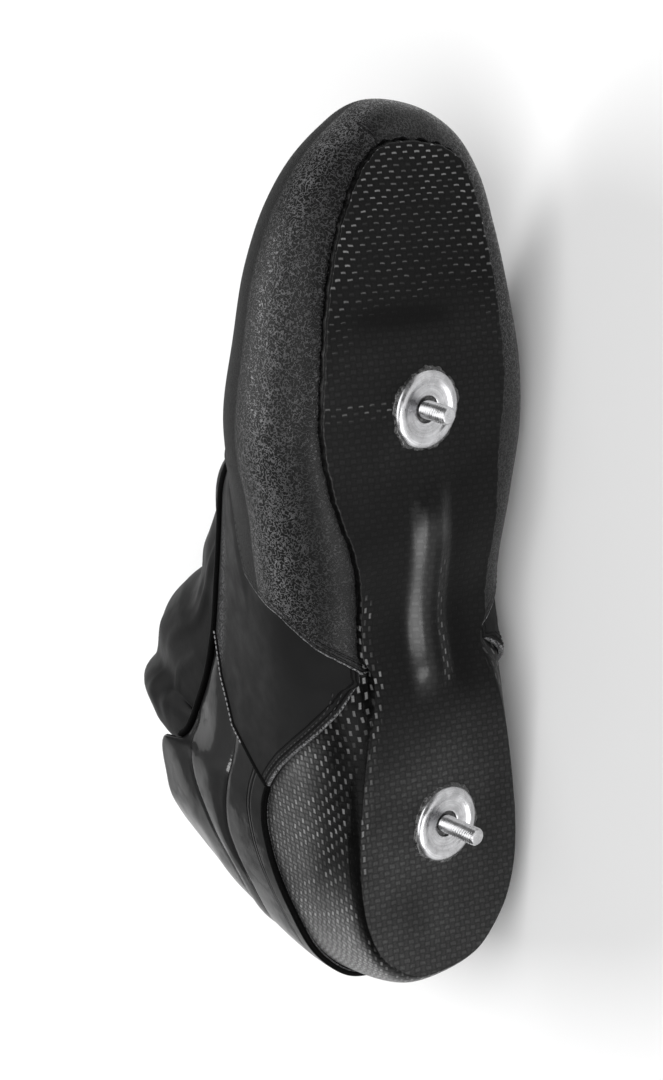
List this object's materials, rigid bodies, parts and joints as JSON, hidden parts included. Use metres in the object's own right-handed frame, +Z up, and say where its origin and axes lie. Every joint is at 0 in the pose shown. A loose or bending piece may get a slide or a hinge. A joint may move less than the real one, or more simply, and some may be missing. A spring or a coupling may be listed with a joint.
{
  "type": "roller skate boot",
  "caption": "Low leather roller skate boot for the right foot with a moulded carbon sole and heel counter, padded tongue and bare threaded mounting studs.",
  "frame": {"origin": "on the floor, under the middle of the box of the boot as it lies on its inner side", "axes": "+X from heel to toe, +Y from the sole towards the collar, +Z up from the floor, which is the boot's outer side"},
  "size_m": [0.2928, 0.1584, 0.1068],
  "materials": {
    "leather": "grained black leather, satin",
    "tongue_leather": "smooth soft black leather over padding",
    "carbon": "woven carbon laminate under clear resin",
    "footbed": "dark felted footbed",
    "steel": "bright zinc-plated steel"
  },
  "bodies": {
    "root": {"carbon_base": "carbon", "upper": "leather", "tongue": "tongue_leather", "insole": "footbed", "heel_washer": "steel", "ball_washer": "steel", "heel_stud": "steel", "ball_stud": "steel"}
  },
  "joints": []
}
